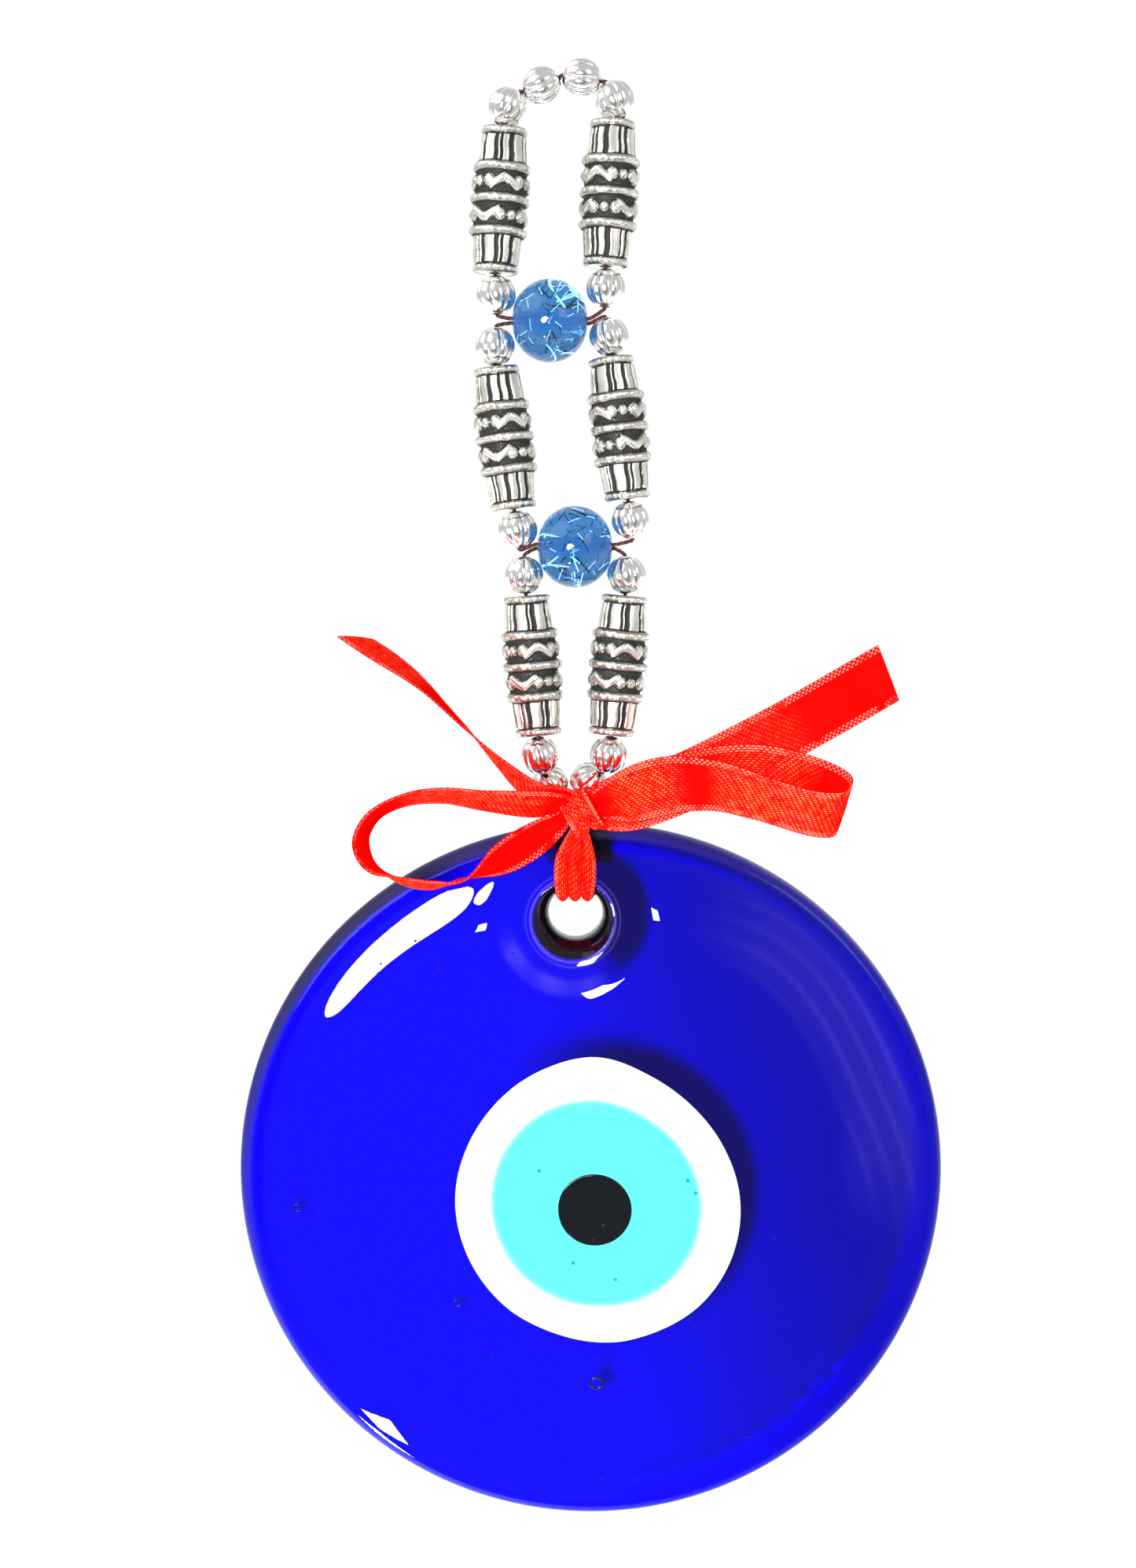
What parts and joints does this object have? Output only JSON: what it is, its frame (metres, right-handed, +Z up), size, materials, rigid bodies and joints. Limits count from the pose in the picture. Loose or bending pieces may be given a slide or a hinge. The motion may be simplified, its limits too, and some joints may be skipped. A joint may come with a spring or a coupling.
{
  "type": "evil eye wall ornament",
  "caption": "Hanging charm: a flat glass eye disc tied by a ribbon bow to a ladder of two beaded strands that cross in larger beads, hung from a thread loop.",
  "frame": {"origin": "top of the upper thread, between the two highest beads, where a nail or hook carries it", "axes": "+Z up, +X to the right of someone who looks at the eye, and the eye faces -Y"},
  "size_m": [0.101, 0.0234, 0.2066],
  "materials": {
    "antique_silver": "bright plated beads with dark antiquing in the grooves",
    "blue_acrylic": "transparent blue with foil flakes inside",
    "red_thread": "waxed twisted thread",
    "cobalt_glass": "poured cobalt glass, glossy, with bubbles",
    "white_glass": "opaque white glass, glossy",
    "turquoise_glass": "opaque turquoise glass, glossy, speckled",
    "black_glass": "opaque black glass, glossy",
    "red_satin": "satin ribbon with woven edges"
  },
  "bodies": {
    "hanger": {"upper_thread": "red_thread"},
    "middle_ladder": {"middle_thread": "red_thread"},
    "lower_ladder": {"lower_thread": "red_thread"},
    "melon_upper_left_1": {"melon_upper_left_1": "antique_silver"},
    "melon_upper_left_2": {"melon_upper_left_2": "antique_silver"},
    "tube_upper_left": {"tube_upper_left": "antique_silver"},
    "melon_upper_left_3": {"melon_upper_left_3": "antique_silver"},
    "melon_upper_right_1": {"melon_upper_right_1": "antique_silver"},
    "melon_upper_right_2": {"melon_upper_right_2": "antique_silver"},
    "tube_upper_right": {"tube_upper_right": "antique_silver"},
    "melon_upper_right_3": {"melon_upper_right_3": "antique_silver"},
    "melon_middle_left_1": {"melon_middle_left_1": "antique_silver"},
    "tube_middle_left": {"tube_middle_left": "antique_silver"},
    "melon_middle_left_2": {"melon_middle_left_2": "antique_silver"},
    "melon_middle_right_1": {"melon_middle_right_1": "antique_silver"},
    "tube_middle_right": {"tube_middle_right": "antique_silver"},
    "melon_middle_right_2": {"melon_middle_right_2": "antique_silver"},
    "melon_lower_left_1": {"melon_lower_left_1": "antique_silver"},
    "tube_lower_left": {"tube_lower_left": "antique_silver"},
    "melon_lower_left_2": {"melon_lower_left_2": "antique_silver"},
    "melon_lower_left_3": {"melon_lower_left_3": "antique_silver"},
    "melon_lower_right_1": {"melon_lower_right_1": "antique_silver"},
    "tube_lower_right": {"tube_lower_right": "antique_silver"},
    "melon_lower_right_2": {"melon_lower_right_2": "antique_silver"},
    "melon_lower_right_3": {"melon_lower_right_3": "antique_silver"},
    "blue_bead_upper": {"blue_bead_upper": "blue_acrylic"},
    "blue_bead_lower": {"blue_bead_lower": "blue_acrylic"},
    "bow": {"ribbon_knot": "red_satin", "ribbon_hole_loop": "red_satin", "ribbon_loop_left": "red_satin", "ribbon_loop_right": "red_satin", "ribbon_tail_left": "red_satin", "ribbon_tail_right": "red_satin"},
    "eye": {"glass_disc": "cobalt_glass", "white_glass": "white_glass", "turquoise_glass": "turquoise_glass", "pupil_glass": "black_glass"}
  },
  "joints": [
    {"name": "fold_upper", "type": "hinge", "parent": "hanger", "child": "middle_ladder", "pos_m": [-0.0015, 0, -0.033], "axis": [1, 0, 0], "range_deg": [-45, 45]},
    {"name": "fold_lower", "type": "hinge", "parent": "middle_ladder", "child": "lower_ladder", "pos_m": [0.002, 0, -0.0641], "axis": [1, 0, 0], "range_deg": [-45, 45]},
    {"name": "spin_melon_upper_left_1", "type": "hinge", "parent": "hanger", "child": "melon_upper_left_1", "pos_m": [-0.00258, 0, -0.00132], "axis": [-0.9455, 0, -0.3256], "continuous": true},
    {"name": "spin_melon_upper_left_2", "type": "hinge", "parent": "hanger", "child": "melon_upper_left_2", "pos_m": [-0.00726, 0, -0.00412], "axis": [-0.4695, 0, -0.8829], "continuous": true},
    {"name": "spin_tube_upper_left", "type": "hinge", "parent": "hanger", "child": "tube_upper_left", "pos_m": [-0.00836, 0, -0.01678], "axis": [-0.0698, 0, -0.9976], "continuous": true},
    {"name": "spin_melon_upper_left_3", "type": "hinge", "parent": "hanger", "child": "melon_upper_left_3", "pos_m": [-0.00892, 0, -0.02946], "axis": [0.0698, 0, -0.9976], "continuous": true},
    {"name": "spin_melon_upper_right_1", "type": "hinge", "parent": "hanger", "child": "melon_upper_right_1", "pos_m": [0.00289, 0, -0.0002], "axis": [0.9848, 0, -0.1736], "continuous": true},
    {"name": "spin_melon_upper_right_2", "type": "hinge", "parent": "hanger", "child": "melon_upper_right_2", "pos_m": [0.00746, 0, -0.00317], "axis": [0.2924, 0, -0.9563], "continuous": true},
    {"name": "spin_tube_upper_right", "type": "hinge", "parent": "hanger", "child": "tube_upper_right", "pos_m": [0.00669, 0, -0.01585], "axis": [-0.0523, 0, -0.9986], "continuous": true},
    {"name": "spin_melon_upper_right_3", "type": "hinge", "parent": "hanger", "child": "melon_upper_right_3", "pos_m": [0.00625, 0, -0.02854], "axis": [-0.0698, 0, -0.9976], "continuous": true},
    {"name": "spin_melon_middle_left_1", "type": "hinge", "parent": "middle_ladder", "child": "melon_middle_left_1", "pos_m": [-0.00908, 0, -0.03652], "axis": [-0.0698, 0, -0.9976], "continuous": true},
    {"name": "spin_tube_middle_left", "type": "hinge", "parent": "middle_ladder", "child": "tube_middle_left", "pos_m": [-0.00775, 0, -0.04915], "axis": [0.1219, 0, -0.9925], "continuous": true},
    {"name": "spin_melon_middle_left_2", "type": "hinge", "parent": "middle_ladder", "child": "melon_middle_left_2", "pos_m": [-0.00598, 0, -0.06173], "axis": [0.1045, 0, -0.9945], "continuous": true},
    {"name": "spin_melon_middle_right_1", "type": "hinge", "parent": "middle_ladder", "child": "melon_middle_right_1", "pos_m": [0.00669, 0, -0.03517], "axis": [0.2079, 0, -0.9781], "continuous": true},
    {"name": "spin_tube_middle_right", "type": "hinge", "parent": "middle_ladder", "child": "tube_middle_right", "pos_m": [0.00813, 0, -0.04779], "axis": [0.1219, 0, -0.9925], "continuous": true},
    {"name": "spin_melon_middle_right_2", "type": "hinge", "parent": "middle_ladder", "child": "melon_middle_right_2", "pos_m": [0.00974, 0, -0.06039], "axis": [0.0698, 0, -0.9976], "continuous": true},
    {"name": "spin_melon_lower_left_1", "type": "hinge", "parent": "lower_ladder", "child": "melon_lower_left_1", "pos_m": [-0.00513, 0, -0.06805], "axis": [-0.0349, 0, -0.9994], "continuous": true},
    {"name": "spin_tube_lower_left", "type": "hinge", "parent": "lower_ladder", "child": "tube_lower_left", "pos_m": [-0.00396, 0, -0.0807], "axis": [0.0872, 0, -0.9962], "continuous": true},
    {"name": "spin_melon_lower_left_2", "type": "hinge", "parent": "lower_ladder", "child": "melon_lower_left_2", "pos_m": [-0.00296, 0, -0.09336], "axis": [0.135, 0.2419, -0.9609], "continuous": true},
    {"name": "spin_melon_lower_left_3", "type": "hinge", "parent": "lower_ladder", "child": "melon_lower_left_3", "pos_m": [-0.00158, 0.00313, -0.09761], "axis": [0.5068, 0.4226, -0.7514], "continuous": true},
    {"name": "spin_melon_lower_right_1", "type": "hinge", "parent": "lower_ladder", "child": "melon_lower_right_1", "pos_m": [0.0092, 0, -0.06802], "axis": [0.1045, 0, -0.9945], "continuous": true},
    {"name": "spin_tube_lower_right", "type": "hinge", "parent": "lower_ladder", "child": "tube_lower_right", "pos_m": [0.00802, 0, -0.08067], "axis": [-0.0958, 0, -0.9954], "continuous": true},
    {"name": "spin_melon_lower_right_2", "type": "hinge", "parent": "lower_ladder", "child": "melon_lower_right_2", "pos_m": [0.00676, 0, -0.0933], "axis": [-0.1699, 0.2079, -0.9633], "continuous": true},
    {"name": "spin_melon_lower_right_3", "type": "hinge", "parent": "lower_ladder", "child": "melon_lower_right_3", "pos_m": [0.00396, 0.00264, -0.09716], "axis": [-0.6519, 0.4226, -0.6296], "continuous": true},
    {"name": "spin_blue_bead_upper", "type": "hinge", "parent": "hanger", "child": "blue_bead_upper", "pos_m": [-0.0015, 0, -0.033], "axis": [1, 0, 0], "continuous": true},
    {"name": "spin_blue_bead_lower", "type": "hinge", "parent": "middle_ladder", "child": "blue_bead_lower", "pos_m": [0.002, 0, -0.0641], "axis": [1, 0, 0], "continuous": true},
    {"name": "bow_tilt", "type": "hinge", "parent": "lower_ladder", "child": "bow", "pos_m": [0.0016, 0.0026, -0.1022], "axis": [1, 0, 0], "range_deg": [-8, 25]},
    {"name": "eye_swing", "type": "hinge", "parent": "bow", "child": "eye", "pos_m": [0.0021, 0.0016, -0.1159], "axis": [0, 1, 0], "range_deg": [-12, 12]}
  ]
}
